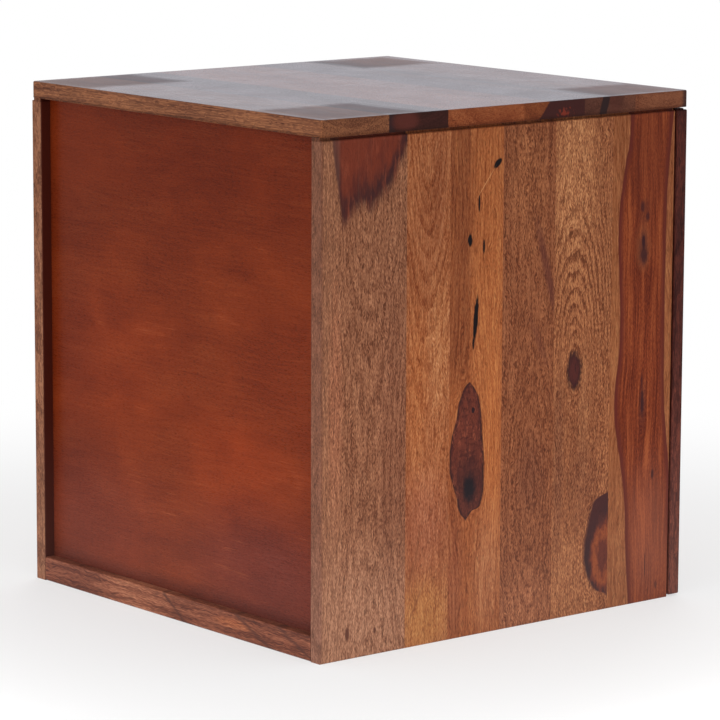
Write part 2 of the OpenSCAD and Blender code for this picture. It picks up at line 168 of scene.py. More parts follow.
class Rosewood(Finish):
    """Lacquered sheesham. The axes name the direction across the stave, along its grain and through it.

    Growth rings lie round the pith. They close in arches at the eyes, and pulls bend the grain round a knot.
    """

    def __init__(self, name, axes, seed, tones, pith=(0, 0, 0), taper=0.0, pulls=(), eyes=(), lift=30,
                 figure=0.35, mottle=0.3, fleck=1.0, growth=0.08, ragged=1.6, streak=1.0, curl=6.0,
                 wander=8, drawn=1.0, crest=(0, 9999)):
        super().__init__(name)
        self.across, self.along, self.deep = [self.axes[a] for a in axes]
        self.seed = seed
        drift = self.stretched(70, 190, seed)
        sway = self.stretched(13, 42, seed + 5)
        bent = self.plus(self.across, self.times(drift, 2 * wander), self.times(sway, 5.0))
        for at_across, at_along, half_width, half_length, strength in pulls:
            aside = self.less(self.across, at_across)
            spread = self.plus(self.squared(aside, half_width),
                               self.squared(self.less(self.along, at_along), half_length))
            bent = self.less(bent, self.times(aside, self.hill(spread), strength))
        self.bent = bent
        below = self.plus(self.less(self.deep, pith[1]), self.times(self.less(self.along, pith[2]), taper))
        reach = self.plus(self.squared(self.less(bent, pith[0]), 1), self.squared(below, 1))
        away = 1.0 if eyes else 0.0
        for at_along, half_length in eyes:
            near = self.hill(self.squared(self.less(self.along, at_along), half_length))
            away = self.times(away, self.less(1.0, near))
        self.ring = self.math("SQRT", self.plus(reach, self.times(away, lift * lift)))
        waved = self.plus(bent, self.times(self.stretched(9, 17, seed + 7), curl))
        bands = self.ringed(6, 500, 4.0)
        clouds = self.stretched(30, 90, seed + 9, 1.0, bent)
        streaks = self.stretched(0.85, 19 * drawn, seed + 11, 1.0, waved)
        stripes = self.stretched(2.2, 70, seed + 15, 1.0, bent)
        self.fibre = self.stretched(0.66, 3.4 * drawn, seed, 1.0, waved)
        self.pores = self.stretched(0.8, 5.0 * drawn, seed + 3, 0.0, waved)
        waver = self.times(self.stretched(9, 26, seed + 13, 2.0), ragged)
        years = self.plus(self.times(self.ring, 1 / YEAR_WIDTH), waver)
        late_wood = self.less(self.fade(self.math("FRACT", years), 0.4, 0.9), 0.35)
        near_crest = self.hill(self.squared(self.less(self.along, crest[0]), crest[1]))
        late_wood = self.times(late_wood, near_crest)
        shade = self.plus(0.5, self.times(bands, figure), self.times(clouds, mottle),
                          self.times(self.fibre, fleck), self.times(streaks, streak),
                          self.times(stripes, 0.3), self.times(late_wood, -growth))
        dark, middle, light = tones
        self.middle = paint(*middle)
        self.colour = self.ramp(shade, (0.22, paint(*dark)), (0.5, paint(*middle)), (0.8, paint(*light)))
        pore_colour = [value * 0.45 for value in dark]
        in_pores = self.times(self.fade(self.pores, 0.05, 0.22), 0.3)
        self.colour = self.mix(in_pores, self.colour, paint(*pore_colour))

    def ringed(self, width, length, detail=2.0):
        """Noise that follows the growth rings."""
        place = self.vector(self.times(self.ring, 1 / width), self.times(self.along, 1 / length), self.seed)
        return self.noise(place, detail, 0.6)

    def hill(self, reach):
        """1 where the squared reach is 0, and down to 0 around that place."""
        return self.math("EXPONENT", self.times(reach, -1.0))

    def squared(self, value, size):
        return self.math("POWER", self.math("ABSOLUTE", self.times(value, 1 / size)), 2.0)

    def stretched(self, width, length, seed, detail=1.0, across=None):
        """Noise drawn out along the grain."""
        side = self.across if across is None else across
        place = self.vector(self.times(side, 1 / width), self.times(self.along, 1 / length),
                            self.plus(self.times(self.deep, 1 / width), seed))
        return self.noise(place, detail, 0.6)

    def scaled(self, x, y, z):
        """Places counted in blotches of this size."""
        return self.node("Mapping", 0, Vector=self.place, Scale=(1 / x, 1 / y, 1 / z))

    def wobble(self, size, length):
        """A ragged offset in millimetres for the edge of a stain."""
        return self.times(self.stretched(5, length, self.seed + 17, 2.0), 2 * size)

    # Lays a colour over the wood: real stains and heartwood, and also painted light and shade
    def lay_colour(self, share, colour):
        self.colour = self.mix(share, self.colour, colour)

    def oval(self, across, along, half_across, half_along, tilt=0.0, ragged=0.25):
        """How far out a place lies from the middle of an oval: 1 on its edge."""
        above = self.less(self.along, along)
        beside = self.less(self.less(self.across, across), self.times(above, tilt))
        reach = self.plus(self.squared(beside, half_across), self.squared(above, half_along))
        rim = self.times(self.stretched(2.5, 6, self.seed + 21), 2 * ragged)
        return self.plus(self.math("SQRT", reach), rim)

    def spot(self, across, along, half_across, half_along, tilt=0.0, edge=0.35, ragged=0.25):
        """How far a place lies inside a spot: 0 outside, 1 inside."""
        reach = self.oval(across, along, half_across, half_along, tilt, ragged)
        return self.fade(reach, 1.0 + edge / 2, 1.0 - edge / 2)

    def tint(self, share, colour):
        """Another tone under the same grain."""
        change = [new / old for new, old in zip(paint(*colour), self.middle)]
        self.colour = self.mix(share, self.colour, change, "MULTIPLY")

    def patches(self, *rows):
        """Soft patches of another tone, each with its colour, its share and its oval."""
        for colour, share, *oval in rows:
            self.tint(self.times(self.spot(*oval, edge=1.4), share), colour)

    def mark(self, colour, share, *oval, **form):
        """A spot of one colour, such as a small knot or a resin slit."""
        self.lay_colour(self.times(self.spot(*oval, **form), share), paint(*colour))

    def veined(self, base, colour, share, value, start, end):
        """A colour that turns to another one where a value passes from start to end."""
        return self.mix(self.times(self.fade(value, start, end), share), base, paint(*colour))

    def painted_shadow_line(self, start, full):
        """Painted shade in the shadow line under the top: darker wood from one height to another."""
        # Painted shade: how much to darken where the top's shadow falls
        shadowed = self.fade(self.axes["z"], start, full)
        self.colour = self.mix(shadowed, self.colour, (0.6, 0.52, 0.46, 1.0), "MULTIPLY")

    def lacquered(self, roughness=0.42, sheen=0.07, floor_light=0.03):
        """A satin coat. The wood is painted paler near the floor, as painted light and reflection from the
        pale floor.
        """
        # Painted light: a pale wash towards the floor stands in for light and reflection from the floor
        self.lay_colour(self.times(self.fade(self.axes["z"], 200, -20), floor_light), paint(214, 196, 188))
        self.shader.inputs["Specular IOR Level"].default_value = sheen
        rough = self.plus(roughness, self.times(self.fibre, 0.25))
        return self.surface(self.colour, rough, self.less(self.fibre, self.pores), 0.00012)


def read_span(node):
    """Lowest and highest corner of a CAD node in millimetres."""
    return [[value / MM for value in corner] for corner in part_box(node)]


def block(low, high):
    """A box in millimetres, as a bmesh."""
    shape = bmesh.new()
    bmesh.ops.create_cube(shape, size=1.0)
    bmesh.ops.scale(shape, vec=[high[i] - low[i] for i in range(3)], verts=shape.verts)
    bmesh.ops.translate(shape, vec=[(high[i] + low[i]) / 2 for i in range(3)], verts=shape.verts)
    return shape


def round_over(shape, edges, radius):
    bmesh.ops.bevel(shape, geom=edges, offset=radius, affect="EDGES", segments=3, profile=0.5, material=-1)


def ease(shape, radius, *names):
    """Rounds the edges where two faces of a board meet, each named as in "-x+z"."""
    for name in names:
        ends = []
        for k in (0, 2):
            axis = "xyz".index(name[k + 1])
            ends.append((axis, (max if name[k] == "+" else min)(v.co[axis] for v in shape.verts)))
        round_over(shape, [e for e in shape.edges
                           if all(abs(v.co[axis] - at) < NEAR for v in e.verts for axis, at in ends)], radius)


def split(shape, axis, level):
    """Cuts the faces of a shape where they cross one level of an axis."""
    normal = [float(i == axis) for i in range(3)]
    everything = shape.verts[:] + shape.edges[:] + shape.faces[:]
    bmesh.ops.bisect_plane(shape, geom=everything, plane_co=[n * level for n in normal], plane_no=normal,
                           dist=CUT)


def extrude(shape, faces, step):
    grown = bmesh.ops.extrude_face_region(shape, geom=faces)["geom"]
    bmesh.ops.translate(shape, vec=step, verts=[v for v in grown if isinstance(v, bmesh.types.BMVert)])


def sink(shape, axis, side, low, high, depth):
    """Sinks the part of one flat side of a shape that lies between two corners."""
    level = (max if side > 0 else min)(v.co[axis] for v in shape.verts)
    others = [i for i in range(3) if i != axis]
    for other in others:
        split(shape, other, low[other])
        split(shape, other, high[other])
    shape.normal_update()
    middles = [(face, face.calc_center_median()) for face in shape.faces if abs(face.normal[axis]) > 0.99]
    inside = [face for face, middle in middles if abs(middle[axis] - level) < NEAR
              and all(low[i] < middle[i] < high[i] for i in others)]
    extrude(shape, inside, [-side * depth * (i == axis) for i in range(3)])
    bmesh.ops.delete(shape, geom=inside, context="FACES_ONLY")


def joined(shape, level, axis, *others):
    """Edges of a shape at one level of an axis, with further (axis, level) pairs to match."""
    return [e for e in shape.edges if all(abs(v.co[i] - at) < NEAR for v in e.verts
                                          for i, at in ((axis, level), *others))]


def rebated(low, high, outer, width, height):
    """A board along Y with a rebate in its outer top edge, whose lower lip is well rounded."""
    inner = low[0] + high[0] - outer
    step = width if inner > outer else -width
    corners = [(outer, low[2]), (inner, low[2]), (inner, high[2]), (outer + step, high[2]),
               (outer + step, high[2] - height), (outer, high[2] - height)]
    shape = bmesh.new()
    face = shape.faces.new([shape.verts.new((x, low[1], z)) for x, z in corners])
    extrude(shape, [face], (0, high[1] - low[1], 0))
    round_over(shape, joined(shape, outer, 0, (2, high[2] - height)), LIP)
    round_over(shape, joined(shape, outer, 0, (2, low[2])), EASED)
    return shape


def piece(name, shape, body, slot, materials, *replaced):
    """Makes the shape, in millimetres, a piece that rides on a body and stands for CAD nodes."""
    bmesh.ops.scale(shape, vec=(MM, MM, MM), verts=shape.verts)
    bmesh.ops.recalc_face_normals(shape, faces=shape.faces)
    mesh = bpy.data.meshes.new(name)
    shape.to_mesh(mesh)
    shape.free()
    mesh.shade_smooth()
    mesh.set_sharp_from_angle(angle=math.radians(SHARP_ANGLE))
    for material in materials if isinstance(materials, list) else [materials]:
        mesh.materials.append(material)
    made = bpy.data.objects.new(name, mesh)
    bpy.context.scene.collection.objects.link(made)
    made.modifiers.new("Flat faces", "WEIGHTED_NORMAL").keep_sharp = True
    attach(made, body)
    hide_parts(*replaced)
    return made


GREY_BROWN = [(88, 48, 30), (128, 80, 56), (164, 112, 82)]
ORANGE_TAN = [(110, 53, 27), (146, 84, 50), (176, 115, 76)]
RED_TAN = [(104, 48, 23), (145, 80, 45), (174, 110, 66)]
BROWN = [(84, 41, 24), (122, 68, 42), (152, 94, 62)]
LIGHT_BROWN = [(94, 49, 28), (136, 79, 50), (172, 113, 74)]
SAPWOOD = [(106, 54, 27), (136, 79, 48), (162, 105, 66)]
RED_HEART = [(80, 27, 12), (113, 48, 24), (143, 72, 38)]
MAROON = [(44, 15, 12), (64, 28, 23), (92, 43, 33)]

HALF_WIDTH = read_span("right_side_1")[1][0]
SIDE_FACE = -HALF_WIDTH
side_woods = []

# Stave 1 has a patch of dark heartwood at its top, and arched grain near the floor
wood = Rosewood("sheesham_side_1", "yzx", 1.0, GREY_BROWN, pith=(172, SIDE_FACE + 14, 0),
                eyes=[(-60, 130), (440, 130)], lift=40, mottle=0.1, figure=0.2, streak=0.7, fleck=1.25,
                growth=0.13)
wood.tint(wood.times(wood.fade(wood.across, 225, 228), 0.8), (106, 62, 46))
wood.patches(((108, 62, 44), 0.4, 142, 200, 18, 120), ((150, 84, 58), 0.35, 212, 240, 7, 90),
             ((178, 128, 100), 0.3, 180, 20, 60, 70))
patch_foot = wood.curve(wood.across, [(128, 476), (130.2, 470.3), (136.1, 461.5), (143.2, 445.5),
                                      (150.3, 436.8), (159.8, 430.2), (166.9, 422.5), (171.6, 420.1),
                                      (178.7, 425.2), (185.8, 423.9), (192.8, 418.1), (199, 411),
                                      (203.4, 408), (205.5, 420), (208.5, 440), (212.5, 460), (217, 490)])
above = wood.plus(wood.less(wood.along, patch_foot), wood.wobble(8, 14))
inner_tone = wood.plus(above, wood.times(wood.stretched(7, 24, 3.0, 2.0), 44))
heart = wood.mix(wood.fade(inner_tone, 6, 34), paint(58, 31, 30), paint(108, 47, 31))
heart = wood.veined(heart, (80, 34, 27), 0.5, wood.stretched(9, 26, 9.0, 3.0), -0.05, 0.2)
heart = wood.veined(heart, (130, 64, 44), 0.5, wood.stretched(4, 30, 9.5, 3.0), 0.02, 0.18)
heart = wood.veined(heart, (56, 24, 20), 0.25, wood.fibre, 0.0, 0.2)
heart = wood.veined(heart, (72, 38, 36), 0.7, wood.across, 203, 212)
wood.lay_colour(wood.times(wood.fade(above, -12, 7), wood.fade(wood.across, 220, 213)), heart)
pale_edge = wood.plus(wood.fade(wood.across, 198, 214), wood.times(wood.stretched(3, 200, 7.0, 2.0), 2.4))
wood.lay_colour(wood.times(wood.fade(pale_edge, 0.1, 1.2), 0.08), paint(192, 142, 112))
wood.mark((84, 44, 30), 1, 197, 24, 2.6, 6.5, edge=0.9)
wood.mark((84, 44, 30), 1, 163.7, 23, 1.5, 3, edge=0.9)
side_woods.append(wood)

# Stave 2 has a figure like a nest of U shapes, and paler wood below it
wood = Rosewood("sheesham_side_2", "yzx", 2.0, ORANGE_TAN, pith=(102, SIDE_FACE + 3, 0), eyes=[(500, 260)],
                lift=55, mottle=0.1, growth=0.18, ragged=1.1, fleck=1.0, streak=0.7, wander=4, figure=0.7,
                crest=(380, 190))
wood.patches(((124, 66, 38), 0.5, 102, 385, 17, 60), ((170, 108, 68), 0.7, 88, 285, 11, 58),
             ((164, 94, 50), 0.4, 115, 250, 12, 70), ((118, 62, 38), 0.4, 88, 440, 9, 50),
             ((138, 76, 54), 0.5, 104, 118, 30, 42), ((178, 118, 62), 0.5, 104, 22, 26, 34))
for oval in [(112, 98, 1.3, 15, -0.15), (114, 41, 1.3, 18, -0.53), (120, 70, 1.3, 12, -0.3)]:
    wood.mark((106, 58, 34), 0.55, *oval, edge=0.9)
side_woods.append(wood)

# Stave 3 has a long lens of dark heartwood round a knot, with slits and spots above it
wood = Rosewood("sheesham_side_3", "yzx", 3.0, RED_TAN, pith=(150, SIDE_FACE + 40, 0),
                pulls=[(52, 178, 30, 95, 0.8)], mottle=0.2, fleck=0.6, streak=0.7)
wood.patches(((176, 102, 56), 0.35, 26, 330, 17, 170), ((172, 98, 54), 0.4, 20, 180, 9, 80),
             ((120, 62, 42), 0.45, 68, 60, 10, 70), ((170, 112, 78), 0.35, 26, 55, 15, 55))
streaks = wood.plus(wood.fade(wood.across, 40, 56), wood.times(wood.stretched(2.4, 120, 6.0, 2.0), 2.6))
wood.tint(wood.times(wood.fade(streaks, 0.2, 1.1), wood.fade(wood.along, 215, 280), 0.9), (120, 63, 36))
left_edge = wood.curve(wood.along, [(112.4, 53.7), (124.8, 62.5), (139.8, 66.4), (156.8, 72.2),
                                    (164.1, 73.9), (188.4, 72.5), (205.9, 67.1), (226.3, 62.6),
                                    (239.9, 55.6), (245.3, 49.5)])
right_edge = wood.curve(wood.along, [(112.4, 53.5), (121.1, 45), (122.6, 38.3), (128.2, 33.8),
                                     (146.7, 30.6), (171.1, 30.8), (196.2, 33.5), (220.6, 35.4),
                                     (237.5, 42.9), (245.3, 49.3)])
ends = wood.math("MINIMUM", wood.less(wood.along, 111), wood.less(247, wood.along))
inside = wood.math("MINIMUM", wood.less(left_edge, wood.across), wood.less(wood.across, right_edge))
inside = wood.plus(wood.math("MINIMUM", inside, wood.times(ends, 0.5)), wood.wobble(1.2, 14))
core = wood.mix(wood.fade(inside, 0.2, 5.0), paint(36, 20, 22), paint(98, 46, 34))
core = wood.veined(core, (66, 31, 28), 0.65, wood.stretched(6, 20, 8.0, 3.0), -0.05, 0.15)
core = wood.veined(core, (138, 72, 50), 0.65, wood.stretched(2.6, 8, 8.5, 3.0), 0.02, 0.2)
core = wood.veined(core, (44, 19, 17), 0.45, wood.fibre, -0.05, 0.15)
core = wood.mix(wood.times(wood.spot(49, 148, 15, 28, edge=1.6), 0.7), core, paint(50, 25, 25))
wood.lay_colour(wood.fade(inside, -0.8, 1.0), core)
wood.mark((27, 20, 24), 1, 49, 143, 8.0, 12.5, edge=1.0, ragged=0.4)
wood.mark((38, 22, 24), 1, 45, 217.4, 2.0, 2.6)
for slit in [(17, 449, 4.0, 4.6, -0.7), (39.5, 413, 1.2, 8), (50.5, 379, 2.9, 5.5), (33.2, 372, 1.2, 7),
             (42.6, 304, 2.8, 21, -0.09), (45.6, 281, 1.0, 6)]:
    wood.mark((16, 10, 12), 1, *slit, edge=0.5)
wood.mark((196, 138, 92), 0.6, 31, 432, 0.7, 12, -0.8, edge=0.8)
side_woods.append(wood)

# Stave 4 has plain grain with a dark slanted streak, and a darker oval patch low down
wood = Rosewood("sheesham_side_4", "yzx", 4.0, BROWN, pith=(-28, SIDE_FACE + 8, 0), eyes=[(140, 120)],
                lift=40, growth=0.14, mottle=0.2, fleck=1.45, streak=0.9, figure=0.4, curl=8.0)
wood.patches(((150, 90, 56), 0.4, -22, 440, 22, 60), ((100, 54, 36), 0.6, -28, 148, 18, 36),
             ((154, 94, 64), 0.5, -20, 18, 38, 34))
wood.mark((82, 40, 34), 0.65, -47, 342, 4.6, 46, 0.28, edge=1.1)
wood.mark((90, 46, 36), 0.4, -37, 275, 4.5, 22, 0.45, edge=1.2)
side_woods.append(wood)

# Stave 5 has one whole knot with arches over it, and half of another that the glue joint cuts
wood = Rosewood("sheesham_side_5", "yzx", 5.0, LIGHT_BROWN, pith=(-83.3, SIDE_FACE + 3, 0),
                eyes=[(241.6, 150)], lift=45, pulls=[(-83.3, 241.6, 16, 34, 0.7), (-124, 62, 34, 62, 0.7)],
                mottle=0.1, growth=0.34, ragged=1.2, fleck=1.5, streak=0.9, figure=0.3, crest=(325, 85))
wood.patches(((166, 106, 70), 0.8, -80, 440, 26, 76), ((118, 66, 42), 0.6, -85, 180, 26, 64),
             ((100, 56, 40), 0.5, -64, 150, 6, 80), ((158, 100, 66), 0.4, -96, 190, 6, 60),
             ((112, 62, 42), 0.4, -98, 128, 18, 36), ((158, 98, 64), 0.6, -78, 26, 26, 46))
knot = wood.mix(wood.spot(-83.3, 241.6, 7, 14, edge=0.9), paint(40, 22, 22), paint(74, 34, 30))
knot = wood.veined(knot, (34, 18, 20), 0.7, wood.stretched(3, 12, 8.5, 2.0), 0.0, 0.2)
wood.lay_colour(wood.spot(-83.3, 241.6, 9.2, 18.5, edge=0.5, ragged=0.3), knot)
left_edge = wood.curve(wood.along, [(12, -131), (15.8, -127.7), (19.2, -118.3), (27.6, -108.8),
                                    (41.5, -101.9), (56.9, -99), (71.7, -100.1), (90.9, -105),
                                    (107.1, -110), (113, -117.9), (116, -128.5)])
inside = wood.plus(wood.less(left_edge, wood.across), wood.wobble(1.4, 14))
whorl = wood.plus(wood.oval(-124, 54, 20, 44, ragged=0.08), wood.times(wood.stretched(5, 14, 8.5, 2.0), 0.7))
core = wood.ramp(whorl, (0.05, paint(92, 42, 31)), (0.28, paint(88, 38, 29)), (0.54, paint(136, 68, 38)),
                 (0.7, paint(110, 51, 33)), (0.86, paint(74, 36, 32)), (1.0, paint(50, 27, 30)))
core = wood.veined(core, (64, 30, 29), 0.85, wood.plus(wood.along, wood.across), -50, -8)
core = wood.veined(core, (50, 24, 22), 0.35, wood.fibre, 0.0, 0.2)
wood.lay_colour(wood.fade(inside, -2.6, 2.4), core)
side_woods.append(wood)

# Stave 6 has tan sapwood along both edges and red heartwood between
wood = Rosewood("sheesham_side_6", "yzx", 6.0, SAPWOOD, pith=(-400, SIDE_FACE + 40, 0),
                pulls=[(-173, 350, 12, 40, 0.6), (-174, 200, 12, 50, 0.6)], mottle=0.2, fleck=0.4)
heart_edge = wood.curve(wood.along, [(0, -159.2), (44, -155.4), (104.6, -151.5), (145.3, -145.3),
                                     (165.7, -140.9), (205.8, -136.7), (244.7, -141.3), (274.1, -142.7),
                                     (323.3, -141), (362.5, -138.9), (391.6, -139.6), (410.8, -142.6),
                                     (439.5, -147.3), (468.2, -152.6), (487, -152.8)])
bark_edge = wood.curve(wood.along, [(0, -216), (110, -212.6), (138, -210.6), (160, -207.6), (180, -205.4),
                                    (200, -203.6), (240, -202.4), (320, -202.2), (400, -203.2), (440, -206),
                                    (480, -209.8), (487, -210.5)])
inside = wood.math("MINIMUM", wood.less(heart_edge, wood.across), wood.less(wood.across, bark_edge))
inside = wood.plus(inside, wood.wobble(0.8, 30))
stripes = wood.plus(0.5, wood.times(wood.fibre, 0.8),
                    wood.times(wood.stretched(9, 200, 2.0, 3.0, wood.bent), 1.2),
                    wood.times(wood.stretched(1.6, 60, 2.5, 1.0, wood.bent), 0.9))
dark, middle, light = RED_HEART
red = wood.ramp(stripes, (0.2, paint(*dark)), (0.5, paint(*middle)), (0.8, paint(*light)))
red = wood.mix(wood.times(wood.spot(-178, 450, 24, 60, edge=1.4), 0.3), red, paint(108, 50, 30))
red = wood.mix(wood.times(wood.spot(-185, 70, 30, 60, edge=1.4), 0.3), red, paint(158, 92, 68))
red = wood.mix(wood.fade(inside, 9, 1), red, paint(88, 34, 25))
wood.lay_colour(wood.fade(inside, -0.7, 0.7), red)
wood.mark((152, 88, 54), 0.3, -172.5, 354, 9.5, 23, edge=0.8)
for share, *oval in [(0.5, -172.5, 353, 6, 17), (1, -172.3, 359.5, 2.2, 6.5), (0.8, -173, 346, 4.6, 8),
                     (0.7, -170.5, 393, 2.8, 4.5), (0.7, -177.5, 383, 2.2, 4), (0.35, -173, 388, 7, 12),
                     (0.4, -174.5, 198, 4.4, 24), (0.9, -174, 200, 2.0, 13), (0.6, -173, 222, 1.0, 8),
                     (0.8, -189, 127, 2.2, 4.5), (0.7, -181, 36, 0.8, 14), (0.6, -196, 15, 1.6, 4)]:
    wood.mark((50, 24, 26), share, *oval, edge=1.0, ragged=0.4)
side_woods.append(wood)

REVEAL_H = 2.4
REVEAL_D = 3.0
back_low, back_high = read_span("back_panel")
GROOVE_PLAY = 0.1
GROOVE_DEPTH = 5
PAST_END = 1


def side_board(node, outer, first, last, wood):
    """One stave of a side panel. The first one has the groove for the back panel."""
    low, high = read_span(node)
    shape = rebated(low, high, outer, REVEAL_D, REVEAL_H)
    if first:
        ease(shape, EASED, "-x+y", "+x+y")
        inward = -1 if outer > 0 else 1
        from_low = (0, back_low[1] - GROOVE_PLAY, back_low[2])
        to_high = (0, back_high[1] + GROOVE_PLAY, high[2] + PAST_END)
        sink(shape, 0, inward, from_low, to_high, GROOVE_DEPTH)
    if last:
        ease(shape, EASED, "-x-y", "+x-y")
    # Painted shade on the rebate and lip under the top's overhang
    wood.painted_shadow_line(high[2] - REVEAL_H - LIP_START, high[2] - REVEAL_H - LIP_FULL)
    piece("board_" + node, shape, "cabinet", "sheesham_panel", wood.lacquered(), node)


for number, wood in enumerate(side_woods, 1):
    side_board(f"left_side_{number}", SIDE_FACE, number == 1, number == 6, wood)


# Right side panel
# Five rosewood staves of equal width, made as the left panel is. The face of the recess behind the back edge
# is painted dark: partly the back panel's stain, partly painted shade in the recess.

right_staves = [(GREY_BROWN, -60, 120), (RED_TAN, 12, 400), (BROWN, 90, 60), (ORANGE_TAN, -10, 300),
                (BROWN, 40, 200)]
for number, (tones, shift, eye) in enumerate(right_staves, 1):
    low, high = read_span(f"right_side_{number}")
    middle = (low[1] + high[1]) / 2
    wood = Rosewood(f"sheesham_right_{number}", "yzx", 10.0 + number, tones, pith=(middle + shift, 216, 0),
                    eyes=[(eye, 110)], growth=0.2)
    if number == 1:
        # Painted dark on the recess face behind the back panel: partly the back panel's stain, partly painted
        # shade
        stained_shaded_recess = wood.times(wood.fade(wood.deep, 214.6, 213.8), wood.fade(wood.across, 216.9, 217.1))
        wood.lay_colour(stained_shaded_recess, paint(66, 24, 16))
    if number == 2:
        wood.mark((70, 34, 32), 1, middle + 8, 180, 9, 34, edge=0.4)
        wood.mark((40, 30, 34), 1, middle + 8, 172, 4, 12, edge=0.6)
    if number == 4:
        edge = wood.plus(wood.across, wood.times(wood.stretched(300, 120, 4.0), 30), -middle)
        wood.tint(wood.fade(edge, -9, -11), (112, 52, 32))
    side_board(f"right_side_{number}", HALF_WIDTH, number == 1, number == len(right_staves), wood)


# Rails
# Three rosewood rails stand between the side panels on beech dowels: two at the floor, behind and before the
# bottom board, and one under the front of the top.

RAIL_BROWN = [(84, 38, 24), (120, 64, 44), (152, 92, 66)]
for node, seed, eased, groove in [("bottom_rail_back", 51.0, ["+y+z", "+y-z"], True),
                                  ("bottom_rail_front", 52.0, ["-y+z", "-y-z"], False),
                                  ("top_rail_front", 53.0, ["-y-z", "+y-z"], False)]:
    wood = Rosewood("sheesham_" + node, "zxy", seed, RAIL_BROWN, pith=(-50, 200 if groove else -200, 0),
                    taper=0.04, figure=0.9, growth=0.1, drawn=2.0)
    wood.patches(((108, 54, 38), 0.6, 12, 165, 30, 60), ((152, 90, 64), 0.8, 14, 62, 30, 46),
                 ((160, 88, 54), 0.7, 14, -96, 4, 24))
    for foot, slope in [(-22, 0.65), (-155, 0.44), (-222, 0.42)]:
        aside = wood.less(wood.across, wood.times(wood.less(wood.along, foot), slope))
        aside = wood.math("ABSOLUTE", wood.plus(aside, wood.wobble(1, 30)))
        wood.lay_colour(wood.times(wood.fade(aside, 3.4, 0.2), 0.6), paint(64, 32, 26))
    low, high = read_span(node)
    shape = block(low, high)
    for edge in eased:
        ease(shape, 2.0 if groove else EASED, edge)
    if groove:
        from_low = (low[0] - PAST_END, back_low[1] - GROOVE_PLAY, 0)
        to_high = (high[0] + PAST_END, back_high[1] + GROOVE_PLAY, 0)
        sink(shape, 2, 1, from_low, to_high, GROOVE_DEPTH)
    piece("board_" + node, shape, "cabinet", "sheesham_frame", wood.lacquered(), node)


def give(finish, *nodes):
    """Puts a finish on nodes that keep their mesh from CAD."""
    for node in nodes:
        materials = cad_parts[node].data.materials
        materials.clear()
        materials.append(finish)


wood = Rosewood("turned_beech", "yxz", 55.0, [(176, 134, 92), (198, 158, 116), (214, 178, 138)],
                pith=(0, 300, 0), figure=0.3, mottle=0.2)
give(wood.lacquered(0.6), "rail_dowels")


# Bottom board
# Three rosewood staves lie on three cleats, flush with the tops of the rails before and behind them.


def flat_board(node, seed, tones, shift, height, eye):
    """One stave of a level board, and its wood."""
    low, high = read_span(node)
    wood = Rosewood("sheesham_" + node, "yxz", seed, tones, pith=((low[1] + high[1]) / 2 + shift, height, 0),
                    eyes=[eye], growth=0.2)
    return block(low, high), wood


for number, tones in enumerate([BROWN, ORANGE_TAN, GREY_BROWN], 1):
    node = f"bottom_stave_{number}"
    shape, wood = flat_board(node, 60.0 + number, tones, 14 * number - 20, 8, (60 * number - 130, 90))
    piece("board_" + node, shape, "cabinet", "sheesham_panel", wood.lacquered(), node)

cleat_wood = Rosewood("sheesham_cleats", "zyx", 66.0, RED_HEART, pith=(40, 0, 0), figure=0.6)
cleat_finish = cleat_wood.lacquered(0.5)
for node, edges in [("bottom_cleat_left", ["+x-z"]), ("bottom_cleat_middle", ["-x-z", "+x-z"]),
                    ("bottom_cleat_right", ["-x-z"])]:
    shape = block(*read_span(node))
    ease(shape, EASED, *edges)
    piece("board_" + node, shape, "cabinet", "sheesham_frame", cleat_finish, node)


# Shelf
# Three rosewood staves, screwed down from below to a cleat on each side panel.

for number, tones in enumerate([ORANGE_TAN, BROWN, RED_TAN], 1):
    node = f"shelf_stave_{number}"
    shape, wood = flat_board(node, 70.0 + number, tones, 20 * number - 36, 244, (70 * number - 120, 100))
    if number == 3:
        ease(shape, 2.0, "-y+z", "-y-z")
    piece("board_" + node, shape, "cabinet", "sheesham_panel", wood.lacquered(), node)

for node, inner in [("shelf_cleat_left", "+x"), ("shelf_cleat_right", "-x"), ("top_cleat_left", "+x"),
                    ("top_cleat_right", "-x")]:
    shape = block(*read_span(node))
    ease(shape, EASED, inner + "-z", inner + "-y")
    piece("board_" + node, shape, "cabinet", "sheesham_frame", cleat_finish, node)


# Back panel
# Plywood with a red-brown stain and a thin gloss coat, held in grooves about 11 mm in from the back edges.

PLY = [(84, 24, 8), (113, 42, 15), (135, 61, 28)]
wood = Rosewood("stained_ply", "zxy", 41.0, PLY, pith=(900, 0, 0), figure=0.1, fleck=0.12, growth=0.0,
                streak=0.2, curl=1.0)
blotches = wood.noise(wood.scaled(110, 110, 70), 3.0, 0.55, 0.4)
wood.lay_colour(wood.times(wood.fade(blotches, -0.12, 0.2), 0.4), paint(140, 56, 20))
# The patch at x 200, beside the right side panel, is a painted reflection of that panel's dark inner face,
# with painted shade
wood.patches(((92, 28, 11), 0.5, 480, 0, 110, 300), ((96, 36, 27), 0.8, 66, -130, 50, 110),
             ((100, 36, 16), 0.6, 250, 200, 220, 60), ((108, 40, 24), 0.6, 70, 130, 60, 90),
             ((128, 46, 15), 0.6, 160, -85, 45, 60), ((122, 44, 16), 0.5, 240, 120, 70, 90),
             ((78, 24, 10), 0.7, 22, 0, 12, 600))
scuffs = wood.stretched(1.4, 40, 12.0, 2.0)
scuffed = wood.times(wood.fade(wood.plus(scuffs, blotches), 0.16, 0.4), wood.fade(wood.axes["z"], 430, 360))
wood.lay_colour(wood.times(scuffed, 0.3), paint(168, 88, 52))
piece("stained_back_panel", block(back_low, back_high), "cabinet", "stained_plywood",
      wood.lacquered(0.3, 0.05), "back_panel")


# Top
# Six rosewood staves that run across the cabinet, so the side shows their end grain. The top is lacquered,
# and near its corners the lacquer was rubbed down to a dull finish.

